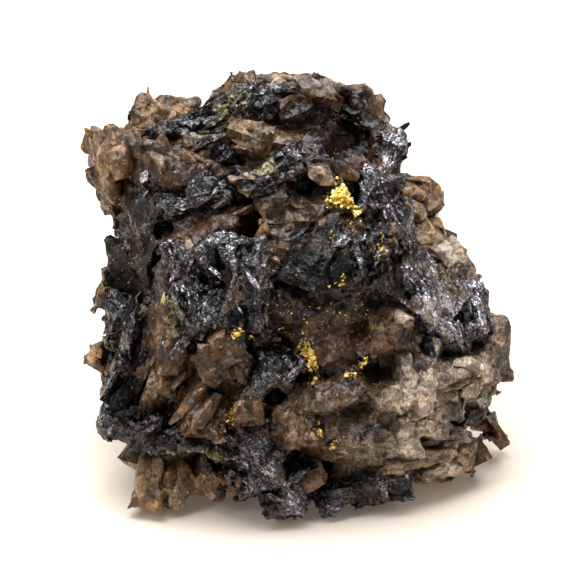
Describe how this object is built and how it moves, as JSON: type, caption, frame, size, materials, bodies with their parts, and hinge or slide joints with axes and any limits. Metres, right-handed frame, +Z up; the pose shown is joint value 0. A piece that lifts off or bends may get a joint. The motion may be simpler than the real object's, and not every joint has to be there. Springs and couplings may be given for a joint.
{
  "type": "native gold specimen",
  "caption": "Broken lump of smoky quartz with masses of dark metallic sulphide set in it and small grains, strings and leaves of native gold on its best face, resting on a flat broken base.",
  "frame": {"origin": "on the resting plane, under the middle of the lump's bounding box", "axes": "+Z up from the broken base, +X to the right as the best face is seen, and the best face leans back from -Y"},
  "size_m": [0.0432, 0.0406, 0.0336],
  "materials": {
    "quartz": "smoky brown quartz, broken and glossy, paler at the right and honey-coloured at thin edges",
    "sulphide": "near-black metallic sulphide with blue-grey glints on its faces",
    "gold": "bright native gold, rough and hackly"
  },
  "bodies": {
    "root": {"quartz_matrix": "quartz", "sulphide_crown": "sulphide", "sulphide_band": "sulphide", "sulphide_horn": "sulphide", "sulphide_shoulder": "sulphide", "sulphide_heart": "sulphide", "sulphide_vein": "sulphide", "sulphide_cluster": "sulphide", "sulphide_bars": "sulphide", "sulphide_patch": "sulphide", "sulphide_keel": "sulphide", "sulphide_lens": "sulphide", "sulphide_back": "sulphide", "sulphide_heel": "sulphide", "gold_main": "gold", "gold_nugget_left": "gold", "gold_flake_left": "gold", "gold_string": "gold", "gold_grain_centre": "gold", "gold_grain_right": "gold", "gold_flake_right": "gold", "gold_leaf": "gold", "gold_grain_lower_left": "gold", "gold_nugget_lower": "gold", "gold_grain_lower": "gold"}
  },
  "joints": []
}
